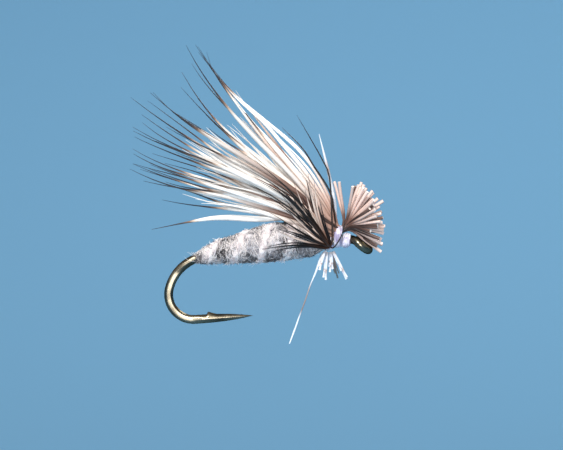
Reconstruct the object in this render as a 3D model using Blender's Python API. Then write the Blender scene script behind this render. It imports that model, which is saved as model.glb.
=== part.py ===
"""Dry fly: a hair-wing caddis pattern tied on a down-eye, round-bend hook.

The fly's frame has its origin at the centre of the hook's eye, +X forward out of the eye,
+Z up and +Y to the fly's left side. Lengths below are in millimetres and angles in degrees;
MM turns a length into Blender's metres. Points written as three numbers are (x, y, z).
"""

import math

import bmesh
import bpy
from mathutils import Matrix, Vector

MM = 0.001
GAP = 0.02  # clearance kept between neighbouring solids

# Hook wire. The shank is straight and rises towards the eye. The bend is a long arc that
# falls away behind the body, then a tighter one round the heel to the point leg.
WIRE_R = 0.235
SHANK_SLOPE = 6.4
BEND_CENTRE = (-7.90, -2.911)
BEND_R = 2.30
HEEL_START = 165.0  # the angle on the long arc where the heel's arc takes over
HEEL_R = 1.32
BEND_END = 273.9
POINT_TIP = (-5.72, -3.77)
POINT_TAPER = 2.6
BARB_AT = 0.30  # share of the point leg from the bend to the tip
BARB_HEIGHT = 0.07
SHANK_FRONT_X = -0.75
FORGED_HALF_WIDTH = 0.19  # half the thickness across the bend's two forged flats
EYE_R = 0.48
EYE_WIRE_R = 0.22
EYE_TILT = 40.0  # the eye's plane slopes down from the shank by this much
EYE_TURN = 12.0  # and is turned about that slope by this much

# Body: (x, top, bottom) of the dubbed fur, from the tail end to the shoulder.
BODY_STATIONS = (
    (-8.40, -0.29, -1.00),
    (-8.05, -0.10, -1.00),
    (-7.40, 0.20, -0.96),
    (-6.60, 0.45, -0.94),
    (-5.75, 0.76, -0.93),
    (-5.10, 0.95, -0.90),
    (-4.35, 1.08, -0.83),
    (-3.65, 1.10, -0.74),
    (-3.10, 0.93, -0.68),
    (-2.65, 0.66, -0.60),
    (-2.25, 0.47, -0.38),
    (-2.02, 0.41, -0.26),
)
BODY_SIDES = 20
THREAD_BASE_R = 0.29
THREAD_BASE_ENDS = (-8.30, -2.10)
RIB_START_X = -8.15
RIB_PITCH = 1.38
RIB_TURNS = 3.75
RIB_WIDTH = 0.42
RIB_HEIGHT = 0.11
RIB_START_ANGLE = 255.0  # measured in the YZ plane from +Y towards +Z

# Thread work and the bound hair, as (first x, last x) and radii about their own axes.
LEG_BINDING_ENDS = (-1.97, -1.52)
LEG_BINDING_R = 0.40
COLLAR_ENDS = (-1.46, -1.05)
COLLAR_CENTRE_Z = 0.40
COLLAR_R = 0.585
COLLAR_BORE_R = 0.50
HEAD_ENDS = (-1.01, -0.64)
HEAD_R = 0.40
BUTT_CENTRE = (-0.87, 0.0, 0.93)
BUTT_BASE_R = 0.40

# Wing. The base leaves the collar at WING_ANGLE above -X and its tufts fan out from its end.
WING_HINGE = (-1.48, 0.0, 0.92)
WING_START = (-1.62, 0.0, 0.62)
WING_ANGLE = 42.0
WING_BASE_LENGTH = 0.85
WING_BASE_R = (0.36, 0.60)
WING_FAN_PER_MM = 42.0  # extra degrees of fan for each millimetre above the base's axis
TUFT_PITCH = 0.24
TUFT_R = (0.085, 0.125, 0.15, 0.15, 0.13, 0.1, 0.07, 0.045, 0.02)
# Each row is one height on the base's end: (angle to the tip, length, side of the tip, lift).
# The angle is above -X, the length from the hinge, and the lift bends the tip further up.
WING_ROWS = (
    ((13.0, 10.1, -1.2, 5.0), (1.0, 9.65, 0.0, -11.0), (14.5, 10.6, 1.2, 5.0)),
    ((17.5, 10.9, -1.7, 6.0), (16.0, 11.1, -0.5, 5.0), (20.0, 11.2, 0.7, 6.0), (22.8, 11.65, 1.8, 5.0)),
    (
        (27.0, 11.8, -2.0, 6.0),
        (31.5, 12.2, -1.0, 5.0),
        (24.5, 11.5, 0.0, 7.0),
        (33.0, 12.0, 1.1, 6.0),
        (29.5, 11.8, 2.1, 6.0),
    ),
    ((35.5, 12.05, -1.6, 5.0), (42.5, 10.9, -0.5, 8.0), (38.0, 11.6, 0.6, 7.0), (45.8, 11.7, 1.7, 8.0)),
    ((51.7, 12.1, -0.9, 8.0), (54.0, 11.5, 0.1, 5.0), (50.5, 11.3, 1.1, 9.0)),
)

# Trimmed butts over the eye: (angle above +X, angle towards +Y, length from BUTT_CENTRE).
HEAD_BUTTS = (
    (-31.0, 0.0, 2.22),
    (-6.0, 0.0, 2.05),
    (20.0, 0.0, 2.15),
    (46.0, 0.0, 2.30),
    (73.0, 0.0, 2.45),
    (102.0, 0.0, 2.50),
    (4.0, -30.0, 2.10),
    (36.0, -32.0, 2.20),
    (66.0, -28.0, 2.30),
    (4.0, 30.0, 2.10),
    (36.0, 32.0, 2.20),
    (66.0, 28.0, 2.30),
)
BUTT_START = 0.43
BUTT_R = (0.065, 0.19)

# Leg hairs: routes from the knot on the fly's right side, root first.
LEG_R = (0.045, 0.045, 0.04, 0.03, 0.018)
RIGHT_LEGS = (
    ((-1.88, -0.50, -0.17), (-2.95, -1.02, -0.02), (-4.12, -1.28, -0.06), (-5.33, -1.36, -0.28)),
    ((-1.86, -0.62, -0.08), (-2.80, -1.12, 0.28), (-3.55, -1.30, 0.55), (-4.18, -1.34, 0.74)),
    ((-1.84, -0.50, -0.04), (-2.45, -0.98, 0.52), (-3.25, -1.20, 1.25), (-3.93, -1.27, 1.73)),
    ((-1.79, -0.62, 0.02), (-2.75, -1.17, 1.00), (-4.20, -1.48, 2.15), (-5.98, -1.62, 3.20)),
    ((-1.78, -0.74, -0.02), (-2.65, -1.22, 1.12), (-4.20, -1.56, 2.70), (-6.35, -1.74, 4.00)),
    ((-1.76, -0.50, 0.07), (-2.35, -0.92, 1.00), (-3.60, -1.22, 2.60), (-5.61, -1.40, 4.32)),
    ((-1.70, -0.62, 0.10), (-1.96, -0.88, 0.95), (-2.18, -0.98, 1.80), (-2.48, -1.00, 2.70)),
    ((-1.58, -0.70, 0.06), (-1.58, -0.82, 1.30), (-1.71, -0.86, 3.43), (-2.13, -0.84, 4.48), (-3.50, -0.75, 6.76)),
    ((-1.50, -0.66, -0.18), (-1.18, -0.70, 0.32), (-1.02, -0.68, 0.84), (-0.97, -0.62, 1.26)),
)
LEFT_LEGS = (
    ((-1.88, 0.50, -0.17), (-2.95, 1.02, 0.00), (-4.10, 1.30, 0.10), (-5.20, 1.42, 0.05)),
    ((-1.86, 0.62, -0.06), (-2.75, 1.14, 0.55), (-3.60, 1.34, 1.10), (-4.50, 1.45, 1.55)),
    ((-1.78, 0.62, 0.04), (-2.60, 1.18, 1.05), (-3.90, 1.52, 2.35), (-5.60, 1.75, 3.50)),
)

# Trimmed ends below the thorax, and the tag of tying material: (route, radii).
STUBS = (
    (((-1.96, -0.30, -0.44), (-2.10, -0.33, -0.90), (-2.22, -0.36, -1.36)), (0.07, 0.08, 0.06)),
    (((-1.80, -0.12, -0.42), (-1.86, -0.14, -1.10), (-1.89, -0.16, -1.88)), (0.07, 0.08, 0.07)),
    (((-1.62, 0.10, -0.42), (-1.64, 0.14, -0.95), (-1.66, 0.18, -1.48)), (0.07, 0.08, 0.07)),
    (((-1.50, -0.18, -0.40), (-1.14, -0.20, -1.15), (-0.80, -0.22, -1.84)), (0.06, 0.08, 0.09)),
)
TAG = (
    (-2.10, -0.05, -0.62),
    (-2.42, -0.08, -1.50),
    (-2.71, -0.10, -2.19),
    (-2.98, -0.12, -3.00),
    (-3.27, -0.14, -3.78),
    (-3.45, -0.16, -4.30),
    (-3.80, -0.18, -5.24),
)
TAG_R = (0.12, 0.10, 0.06, 0.055, 0.06, 0.075, 0.07)
SPIKE = ((-1.36, 0.05, 1.02), (-1.40, 0.06, 2.10), (-1.70, 0.06, 3.60), (-2.24, 0.05, 5.80))
SPIKE_R = (0.06, 0.09, 0.07, 0.02)

STEEL = ((0.075, 0.06, 0.045, 1.0), 0.22, 1.0)
GREY_FUR = ((0.16, 0.14, 0.145, 1.0), 0.95, 0.0)
WHITE_FUR = ((0.80, 0.76, 0.77, 1.0), 0.95, 0.0)
WHITE_THREAD = ((0.82, 0.80, 0.86, 1.0), 0.5, 0.0)
WING_HAIR = ((0.78, 0.70, 0.62, 1.0), 0.45, 0.0)
BUTT_HAIR = ((0.62, 0.47, 0.40, 1.0), 0.5, 0.0)
DARK_HAIR = ((0.035, 0.025, 0.02, 1.0), 0.4, 0.0)


def shank_z(x):
    """Height of the shank's centre line at x."""
    slope = math.radians(SHANK_SLOPE)
    front_of_bend = BEND_CENTRE[0] - BEND_R * math.sin(slope)
    return BEND_CENTRE[1] + BEND_R * math.cos(slope) + (x - front_of_bend) * math.tan(slope)


def clear_scene():
    for thing in list(bpy.data.objects):
        bpy.data.objects.remove(thing, do_unlink=True)


def new_collection(name):
    collection = bpy.data.collections.new(name)
    bpy.context.scene.collection.children.link(collection)
    return collection


def make_material(name, look):
    colour, roughness, metallic = look
    material = bpy.data.materials.new(name)
    material.use_nodes = True
    shader = material.node_tree.nodes["Principled BSDF"]
    shader.inputs["Base Color"].default_value = colour
    shader.inputs["Roughness"].default_value = roughness
    shader.inputs["Metallic"].default_value = metallic
    material.diffuse_color = colour
    return material


def smooth_route(points, steps):
    """A Catmull-Rom curve through the points, with this many steps between each two."""
    route = [Vector(p) for p in points]
    route = [2 * route[0] - route[1], *route, 2 * route[-1] - route[-2]]
    found = []
    for p0, p1, p2, p3 in zip(route, route[1:], route[2:], route[3:]):
        for i in range(steps):
            t = i / steps
            found.append(
                0.5 * (2 * p1 + (p2 - p0) * t + (2 * p0 - 5 * p1 + 4 * p2 - p3) * t * t
                       + (3 * p1 - p0 - 3 * p2 + p3) * t ** 3)
            )
    return [*found, route[-2]]


def spread_radii(radii, count):
    """This many radii, read evenly along a shorter list of them."""
    found = []
    for i in range(count):
        at = i / (count - 1) * (len(radii) - 1)
        low = min(int(at), len(radii) - 2)
        found.append(radii[low] + (radii[low + 1] - radii[low]) * (at - low))
    return found


def add_rod(name, points, radii, look, collection, resolution=1):
    """A round rod along the points, with one radius for each, as a curve object."""
    curve = bpy.data.curves.new(name, "CURVE")
    curve.dimensions = "3D"
    curve.bevel_depth = MM
    curve.bevel_resolution = resolution
    curve.use_fill_caps = True
    spline = curve.splines.new("POLY")
    spline.points.add(len(points) - 1)
    for target, point, radius in zip(spline.points, points, radii):
        target.co = (*(Vector(point) * MM), 1.0)
        target.radius = radius
    rod = bpy.data.objects.new(name, curve)
    curve.materials.append(make_material(name, look))
    collection.objects.link(rod)
    return rod


def made_mesh(rod):
    """The rod as a mesh object with its caps welded, which Booleans can cut."""
    evaluated = rod.evaluated_get(bpy.context.evaluated_depsgraph_get())
    mesh = bpy.data.meshes.new_from_object(evaluated)
    bm = bmesh.new()
    bm.from_mesh(mesh)
    bmesh.ops.remove_doubles(bm, verts=bm.verts, dist=1e-6)
    bmesh.ops.recalc_face_normals(bm, faces=bm.faces)
    bm.to_mesh(mesh)
    bm.free()
    name = rod.name
    solid = bpy.data.objects.new(name + "_solid", mesh)
    solid.matrix_world = rod.matrix_world
    rod.users_collection[0].objects.link(solid)
    bpy.data.objects.remove(rod, do_unlink=True)
    solid.name = name
    return solid


def add_mesh(name, bm, collection, look=None):
    mesh = bpy.data.meshes.new(name)
    bmesh.ops.recalc_face_normals(bm, faces=bm.faces)
    bm.to_mesh(mesh)
    bm.free()
    thing = bpy.data.objects.new(name, mesh)
    collection.objects.link(thing)
    if look:
        mesh.materials.append(make_material(name, look))
    return thing


def add_cylinder(name, first, last, radius, collection, look=None, sides=24, end_radius=None):
    """A closed cylinder, or a cone frustum if end_radius is given, between two points."""
    first, last = Vector(first) * MM, Vector(last) * MM
    along = last - first
    turn = along.to_track_quat("Z", "Y").to_matrix().to_4x4()
    bm = bmesh.new()
    bmesh.ops.create_cone(
        bm,
        cap_ends=True,
        segments=sides,
        radius1=radius * MM,
        radius2=(radius if end_radius is None else end_radius) * MM,
        depth=along.length,
        matrix=Matrix.Translation((first + last) / 2) @ turn,
    )
    return add_mesh(name, bm, collection, look)


def add_box(name, low, high, collection):
    low, high = Vector(low) * MM, Vector(high) * MM
    size = high - low
    bm = bmesh.new()
    bmesh.ops.create_cube(
        bm, size=1.0, matrix=Matrix.Translation((low + high) / 2) @ Matrix.Diagonal((*size, 1.0))
    )
    return add_mesh(name, bm, collection)


def cut(thing, cutter):
    """Cuts the cutter's shape out of the thing with an exact Boolean."""
    cutter.hide_render = True
    cutter.display_type = "WIRE"
    boolean = thing.modifiers.new("cut_" + cutter.name, "BOOLEAN")
    boolean.operation = "DIFFERENCE"
    boolean.solver = "EXACT"
    boolean.object = cutter


def on_shank(x, beyond=0.0):
    """A point on the shank's axis, moved this far along +X."""
    return (x + beyond, 0.0, shank_z(x + beyond))


def hook_route():
    """Centre line of the wire from the free end of the eye's loop to the point."""
    tilt = math.radians(EYE_TILT)
    down = Vector((math.cos(tilt), 0.0, -math.sin(tilt)))
    up = Vector((-down.z, 0.0, down.x))
    turn = math.radians(EYE_TURN)
    side = math.cos(turn) * Vector((0.0, 1.0, 0.0)) + math.sin(turn) * up
    route, radii = [], []
    for degrees in range(142, -136, -12):
        angle = math.radians(degrees)
        route.append(EYE_R * (math.cos(angle) * down + math.sin(angle) * side))
        radii.append(EYE_WIRE_R)
    radii[0] = 0.13
    radii[1] = 0.19
    neck = [route[-1], Vector((-0.53, -0.05, shank_z(-0.53) + 0.01)), Vector(on_shank(SHANK_FRONT_X))]
    route += smooth_route(neck, 3)[1:]
    radii += spread_radii((EYE_WIRE_R, WIRE_R), 6)
    straight = 8
    bend_start = 90.0 + SHANK_SLOPE
    start_x = BEND_CENTRE[0] + BEND_R * math.cos(math.radians(bend_start))
    for i in range(1, straight):
        x = SHANK_FRONT_X + (start_x - SHANK_FRONT_X) * i / straight
        route.append(Vector(on_shank(x)))
        radii.append(WIRE_R)
    heel = math.radians(HEEL_START)
    heel_x = BEND_CENTRE[0] + (BEND_R - HEEL_R) * math.cos(heel)
    heel_z = BEND_CENTRE[1] + (BEND_R - HEEL_R) * math.sin(heel)
    for centre_x, centre_z, radius, first, last, steps in (
        (BEND_CENTRE[0], BEND_CENTRE[1], BEND_R, bend_start, HEEL_START, 9),
        (heel_x, heel_z, HEEL_R, HEEL_START + 8.0, BEND_END, 13),
    ):
        for i in range(steps + 1):
            angle = math.radians(first + (last - first) * i / steps)
            x, z = centre_x + radius * math.cos(angle), centre_z + radius * math.sin(angle)
            route.append(Vector((x, 0.0, z)))
            radii.append(WIRE_R)
    leg_start = route[-1]
    tip = Vector((POINT_TIP[0], 0.0, POINT_TIP[1]))
    leg_steps = 14
    for i in range(1, leg_steps + 1):
        share = i / leg_steps
        taper = max(1.0 - share ** POINT_TAPER, 0.06)
        barb = BARB_HEIGHT * math.exp(-(((share - BARB_AT) / 0.06) ** 2))
        route.append(leg_start.lerp(tip, share) + Vector((0.0, 0.0, barb)))
        radii.append(WIRE_R * taper + 0.5 * barb)
    return route, radii


def make_hook(parts, cutters):
    route, radii = hook_route()
    hook = made_mesh(add_rod("hook", route, radii, STEEL, parts, resolution=4))
    hook.data.shade_smooth()
    for sign, side in ((-1, "right"), (1, "left")):
        low_y, high_y = sorted((sign * FORGED_HALF_WIDTH, sign * 0.5))
        flat = add_box("forging_" + side, (-10.7, low_y, -4.6), (-8.5, high_y, -1.2), cutters)
        cut(hook, flat)


def make_thread_base(parts, cutters):
    start, end = THREAD_BASE_ENDS
    base = add_cylinder(
        "thread_base", on_shank(start), on_shank(end), THREAD_BASE_R, parts, WHITE_THREAD, sides=16
    )
    bore = add_cylinder(
        "thread_base_bore", on_shank(start, -0.3), on_shank(end, 0.3), WIRE_R + GAP, cutters, sides=16
    )
    cut(base, bore)


def body_section(x):
    """Centre height and radius of the dubbed body at x."""
    for (x0, top0, low0), (x1, top1, low1) in zip(BODY_STATIONS, BODY_STATIONS[1:]):
        if x <= x1:
            t = max((x - x0) / (x1 - x0), 0.0)
            top, low = top0 + (top1 - top0) * t, low0 + (low1 - low0) * t
            return (top + low) / 2, (top - low) / 2
    return (top1 + low1) / 2, (top1 - low1) / 2


def make_body(parts, cutters):
    """The fur body, lofted through upright round sections of changing size and height."""
    bm = bmesh.new()
    rings = []
    for x, _, _ in BODY_STATIONS:
        centre, radius = body_section(x)
        place = Matrix.Translation(Vector((x, 0.0, centre)) * MM) @ Matrix.Rotation(math.pi / 2, 4, "Y")
        ring = bmesh.ops.create_circle(bm, segments=BODY_SIDES, radius=radius * MM, matrix=place)
        rings.append(ring["verts"])
    for here, there in zip(rings, rings[1:]):
        for i in range(BODY_SIDES):
            j = (i + 1) % BODY_SIDES
            bm.faces.new((here[i], here[j], there[j], there[i]))
    bm.faces.new(rings[0])
    bm.faces.new(rings[-1])
    body = add_mesh("dubbed_body", bm, parts, GREY_FUR)
    body.data.shade_smooth()
    first, last = BODY_STATIONS[0][0], BODY_STATIONS[-1][0]
    bore = add_cylinder(
        "body_bore", on_shank(first, -0.3), on_shank(last, 0.3), THREAD_BASE_R + GAP, cutters
    )
    cut(body, bore)


def make_rib(parts):
    """A flat band of white fur wound round the body as a helix, just clear of its surface."""
    bm = bmesh.new()
    steps = int(RIB_TURNS * BODY_SIDES)
    edges = ((-0.5, 0.0), (0.5, 0.0), (0.28, 1.0), (-0.28, 1.0))
    loops = []
    for i in range(steps + 1):
        turn = i / BODY_SIDES
        angle = math.radians(RIB_START_ANGLE) - 2 * math.pi * turn
        loop = []
        for across, height in edges:
            x = RIB_START_X + RIB_PITCH * turn + across * RIB_WIDTH
            centre, radius = body_section(x)
            out = radius + 2.5 * GAP + height * RIB_HEIGHT
            point = Vector((x, out * math.cos(angle), centre + out * math.sin(angle)))
            loop.append(bm.verts.new(point * MM))
        loops.append(loop)
    for here, there in zip(loops, loops[1:]):
        for i in range(len(edges)):
            j = (i + 1) % len(edges)
            bm.faces.new((here[i], here[j], there[j], there[i]))
    bm.faces.new(loops[0])
    bm.faces.new(loops[-1])
    add_mesh("body_rib", bm, parts, WHITE_FUR)


def make_winding(name, ends, radius, bore_radius, centre_height, parts, cutters):
    """A barrel of thread turns along X between the two ends, bored for what it binds."""
    rise = centre_height - shank_z(sum(ends) / 2)
    bore_start = Vector(on_shank(ends[0], -0.3)) + Vector((0.0, 0.0, rise))
    bore_end = Vector(on_shank(ends[1], 0.3)) + Vector((0.0, 0.0, rise))
    span = ends[1] - ends[0]
    profile = ((0.0, 0.86), (0.14, 0.97), (0.5, 1.0), (0.86, 0.97), (1.0, 0.86))
    route = [Vector(on_shank(ends[0] + share * span)) + Vector((0.0, 0.0, rise)) for share, _ in profile]
    radii = [radius * share for _, share in profile]
    winding = made_mesh(add_rod(name, route, radii, WHITE_THREAD, parts, resolution=8))
    winding.data.shade_smooth()
    cut(winding, add_cylinder(name + "_bore", bore_start, bore_end, bore_radius, cutters))
    return winding


def make_bound_hair(parts, cutters):
    """The waist of compressed hair that the collar thread binds on top of the shank."""
    first = (COLLAR_ENDS[0], 0.0, COLLAR_CENTRE_Z)
    last = (COLLAR_ENDS[1], 0.0, COLLAR_CENTRE_Z)
    radius = COLLAR_BORE_R - 2.5 * GAP
    waist = add_cylinder("bound_hair", first, last, radius, parts, WING_HAIR)
    cut(waist, add_cylinder("bound_hair_bore", on_shank(-1.9), on_shank(-0.7), WIRE_R + GAP, cutters))


def make_butt_base(parts, cutters):
    """The dome in front of the collar where the bound hair turns up into the trimmed butts."""
    bm = bmesh.new()
    place = Matrix.Translation(Vector(BUTT_CENTRE) * MM)
    bmesh.ops.create_icosphere(bm, subdivisions=2, radius=BUTT_BASE_R * MM, matrix=place)
    dome = add_mesh("butt_base", bm, parts, BUTT_HAIR)
    dome.data.shade_smooth()
    behind = add_box("butt_base_back", (-2.2, -1.0, -0.5), (COLLAR_ENDS[1] + GAP, 1.0, 2.0), cutters)
    cut(dome, behind)
    head = add_cylinder(
        "butt_base_under", on_shank(-1.3), on_shank(-0.3), HEAD_R + 1.5 * GAP, cutters
    )
    cut(dome, head)


def wing_direction(degrees, side=0.0):
    """Unit vector at this angle above -X, leaning to +Y by the given slope."""
    angle = math.radians(degrees)
    return Vector((-math.cos(angle), side, math.sin(angle))).normalized()


def make_wing_base(parts, cutters):
    """The flared root of the wing, behind the collar and astride the leg binding."""
    along = wing_direction(WING_ANGLE)
    start = Vector(WING_START)
    first = start - 0.3 * along
    last = start + WING_BASE_LENGTH * along
    base = add_cylinder(
        "wing_base", first, last, WING_BASE_R[0], parts, WING_HAIR, end_radius=WING_BASE_R[1]
    )
    base.data.shade_smooth()
    cut(base, add_box("wing_base_front", (COLLAR_ENDS[0] - 2 * GAP, -1.0, -1.0), (0.0, 1.0, 2.5), cutters))
    under = add_cylinder(
        "wing_base_under", on_shank(-3.0), on_shank(-1.0), LEG_BINDING_R + 1.5 * GAP, cutters
    )
    cut(base, under)
    return last


def make_wing_tufts(base_end, parts):
    """Hair tufts in five rows, packed on the base's end and fanned out to their tips."""
    along = wing_direction(WING_ANGLE)
    up = Vector((along.z, 0.0, -along.x))
    hinge = Vector(WING_HINGE)
    number = 0
    for row, tufts in enumerate(WING_ROWS):
        height = (row - (len(WING_ROWS) - 1) / 2) * TUFT_PITCH * 0.87
        for column, (degrees, length, side, lift) in enumerate(tufts):
            number += 1
            across = (column - (len(tufts) - 1) / 2) * TUFT_PITCH
            root = base_end + GAP * along + height * up + Vector((0.0, across, 0.0))
            tip = hinge + length * wing_direction(degrees)
            tip.y = side
            leave = wing_direction(WING_ANGLE + height * WING_FAN_PER_MM, 0.22 * across)
            arrive = wing_direction(degrees + lift, 0.12 * side)
            span = (tip - root).length
            handles = (root, root + 0.27 * span * leave, tip - 0.35 * span * arrive, tip)
            steps = 12
            route = []
            for i in range(steps + 1):
                t = i / steps
                a, b, c, d = (1 - t) ** 3, 3 * t * (1 - t) ** 2, 3 * t * t * (1 - t), t ** 3
                route.append(a * handles[0] + b * handles[1] + c * handles[2] + d * handles[3])
            add_rod(f"wing_tuft_{number:02d}", route, spread_radii(TUFT_R, steps + 1), WING_HAIR, parts)


def make_head_butts(parts):
    centre = Vector(BUTT_CENTRE)
    for number, (rise, side, length) in enumerate(HEAD_BUTTS, 1):
        up, over = math.radians(rise), math.radians(side)
        along = Vector((math.cos(up) * math.cos(over), math.sin(over), math.sin(up) * math.cos(over)))
        route = [centre + along * (BUTT_START + (length - BUTT_START) * i / 3) for i in range(4)]
        add_rod(f"head_butt_{number:02d}", route, spread_radii(BUTT_R, 4), BUTT_HAIR, parts)


def make_strand(name, points, radii, look, parts, steps=3):
    route = smooth_route(points, steps)
    add_rod(name, route, spread_radii(radii, len(route)), look, parts)


def main():
    clear_scene()
    parts = new_collection("dry_fly")
    cutters = new_collection("dry_fly_cutters")
    make_hook(parts, cutters)
    make_thread_base(parts, cutters)
    make_body(parts, cutters)
    make_rib(parts)
    make_winding(
        "leg_binding",
        LEG_BINDING_ENDS,
        LEG_BINDING_R,
        WIRE_R + GAP,
        shank_z(sum(LEG_BINDING_ENDS) / 2),
        parts,
        cutters,
    )
    make_winding("collar_thread", COLLAR_ENDS, COLLAR_R, COLLAR_BORE_R, COLLAR_CENTRE_Z, parts, cutters)
    make_winding(
        "head_thread", HEAD_ENDS, HEAD_R, WIRE_R + GAP, shank_z(sum(HEAD_ENDS) / 2), parts, cutters
    )
    make_bound_hair(parts, cutters)
    make_butt_base(parts, cutters)
    make_wing_tufts(make_wing_base(parts, cutters), parts)
    make_head_butts(parts)
    for number, route in enumerate(RIGHT_LEGS, 1):
        make_strand(f"right_leg_{number:02d}", route, LEG_R, DARK_HAIR, parts)
    for number, route in enumerate(LEFT_LEGS, 1):
        make_strand(f"left_leg_{number:02d}", route, LEG_R, DARK_HAIR, parts)
    for number, (route, radii) in enumerate(STUBS, 1):
        make_strand(f"stub_{number:02d}", route, radii, WHITE_THREAD, parts, steps=2)
    make_strand("hair_tag", TAG, TAG_R, WHITE_THREAD, parts, steps=2)
    make_strand("upright_hair", SPIKE, SPIKE_R, WING_HAIR, parts)


main()
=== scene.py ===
"""The looks of the hair-wing dry fly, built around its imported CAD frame.

Shapes are worked out in millimetres, in the frame's own axes, and MM turns them into metres.
Every hair, fibre and thread is a closed tube of its own. A piece holds the hairs that stand
for one CAD node or a few of them.
"""

import math

import bpy
import numpy as np
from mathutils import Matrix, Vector, noise


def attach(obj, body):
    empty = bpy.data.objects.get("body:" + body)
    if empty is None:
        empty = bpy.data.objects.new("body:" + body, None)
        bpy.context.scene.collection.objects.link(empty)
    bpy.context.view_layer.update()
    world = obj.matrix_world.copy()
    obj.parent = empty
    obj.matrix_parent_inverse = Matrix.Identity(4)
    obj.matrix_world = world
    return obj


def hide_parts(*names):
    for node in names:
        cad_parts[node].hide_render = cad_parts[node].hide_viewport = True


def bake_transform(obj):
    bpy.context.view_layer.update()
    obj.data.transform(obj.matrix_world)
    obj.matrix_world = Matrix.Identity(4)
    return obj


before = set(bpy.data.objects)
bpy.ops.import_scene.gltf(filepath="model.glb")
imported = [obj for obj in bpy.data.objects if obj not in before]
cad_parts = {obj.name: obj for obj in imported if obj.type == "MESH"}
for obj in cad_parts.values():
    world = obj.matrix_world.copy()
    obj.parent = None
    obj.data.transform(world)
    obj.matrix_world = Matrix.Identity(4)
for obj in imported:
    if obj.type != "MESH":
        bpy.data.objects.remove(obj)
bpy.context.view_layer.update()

MM = 0.001
BAKE_UV = "OFBake"

# Seeds. The fur is drawn first, and every later sub-part starts its own draws.
FUR_SEED = 20
WING_SEED = 7
BUTT_SEED = 31
LEG_SEED = 41
END_SEED = 51
RNG = np.random.default_rng(FUR_SEED)

# Driving sizes, the same as the CAD model's.
WIRE_R = 0.235
SHANK_SLOPE = 6.4
BEND_CENTRE = (-7.90, -2.911)
BEND_R = 2.30
HEEL_START = 165.0
HEEL_R = 1.32
BEND_END = 273.9
POINT_TIP = (-5.72, -3.77)
POINT_TAPER = 2.6
BARB_ENDS = (-8.10, -7.62)
BARB_HEIGHT = 0.15
SHANK_FRONT_X = -0.75
FORGED_HALF_WIDTH = 0.19
EYE_R = 0.48
EYE_WIRE_R = 0.22
EYE_TILT = 40.0
EYE_TURN = 12.0
# The dubbed body's x, top z and bottom z.
BODY_STATIONS = (
    (-8.68, -0.48, -0.96), (-8.40, -0.29, -1.00), (-8.05, -0.10, -1.00), (-7.40, 0.20, -0.96),
    (-6.60, 0.45, -0.94), (-5.75, 0.76, -0.93), (-5.10, 0.95, -0.90), (-4.35, 1.08, -0.83),
    (-3.65, 1.10, -0.74), (-3.10, 0.93, -0.68), (-2.65, 0.66, -0.60), (-2.25, 0.47, -0.38),
    (-2.02, 0.41, -0.26),
)
RIB_START_X = -8.15
RIB_PITCH = 1.38
RIB_TURNS = 3.75
RIB_START_ANGLE = 255.0
COLLAR_CENTRE_Z = 0.40
BUTT_CENTRE = np.array((-0.87, 0.0, 0.93))
WING_HINGE = np.array((-1.48, 0.0, 0.92))
WING_START = np.array((-1.62, 0.0, 0.62))
WING_ANGLE = 42.0
WING_BASE_LENGTH = 0.85
WING_FAN_PER_MM = 42.0
TUFT_PITCH = 0.24
# Each tuft's tip: degrees up, distance from the hinge, side, and the end's lift in degrees.
WING_ROWS = (
    ((13.0, 10.1, -1.2, 5.0), (1.0, 9.65, 0.0, -11.0), (14.5, 10.6, 1.2, 5.0)),
    ((17.5, 10.9, -1.7, 6.0), (16.0, 11.1, -0.5, 5.0), (20.0, 11.2, 0.7, 6.0), (22.8, 11.65, 1.8, 5.0)),
    (
        (27.0, 11.8, -2.0, 6.0), (31.5, 12.2, -1.0, 5.0), (24.5, 11.5, 0.0, 7.0),
        (33.0, 12.0, 1.1, 6.0), (29.5, 11.8, 2.1, 6.0),
    ),
    ((35.5, 12.05, -1.6, 5.0), (42.5, 10.9, -0.5, 8.0), (38.0, 11.6, 0.6, 7.0), (45.8, 11.7, 1.7, 8.0)),
    ((51.7, 12.1, -0.9, 8.0), (54.0, 11.5, 0.1, 5.0), (50.5, 11.3, 1.1, 9.0)),
)
# Each butt's rise and side in degrees, and its length.
HEAD_BUTTS = (
    (-31.0, 0.0, 2.22), (-6.0, 0.0, 2.05), (20.0, 0.0, 2.15), (46.0, 0.0, 2.30),
    (73.0, 0.0, 2.45), (102.0, 0.0, 2.50), (4.0, -30.0, 2.10), (36.0, -32.0, 2.20),
    (66.0, -28.0, 2.30), (4.0, 30.0, 2.10), (36.0, 32.0, 2.20), (66.0, 28.0, 2.30),
)
RIGHT_LEGS = (
    ((-1.88, -0.50, -0.17), (-2.95, -1.02, -0.02), (-4.12, -1.28, -0.06), (-5.33, -1.36, -0.28)),
    ((-1.86, -0.62, -0.08), (-2.80, -1.12, 0.28), (-3.55, -1.30, 0.55), (-4.18, -1.34, 0.74)),
    ((-1.84, -0.50, -0.04), (-2.45, -0.98, 0.52), (-3.25, -1.20, 1.25), (-3.93, -1.27, 1.73)),
    ((-1.79, -0.62, 0.02), (-2.75, -1.17, 1.00), (-4.20, -1.48, 2.15), (-5.98, -1.62, 3.20)),
    ((-1.78, -0.74, -0.02), (-2.65, -1.22, 1.12), (-4.20, -1.56, 2.70), (-6.35, -1.74, 4.00)),
    ((-1.76, -0.50, 0.07), (-2.35, -0.92, 1.00), (-3.60, -1.22, 2.60), (-5.61, -1.40, 4.32)),
    ((-1.70, -0.62, 0.10), (-1.96, -0.88, 0.95), (-2.18, -0.98, 1.80), (-2.48, -1.00, 2.70)),
    (
        (-1.58, -0.70, 0.06), (-1.58, -0.82, 1.30), (-1.71, -0.86, 3.43), (-2.13, -0.84, 4.48),
        (-3.50, -0.75, 6.76),
    ),
    ((-1.50, -0.66, -0.18), (-1.18, -0.70, 0.32), (-1.02, -0.68, 0.84), (-0.97, -0.62, 1.26)),
)
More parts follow.
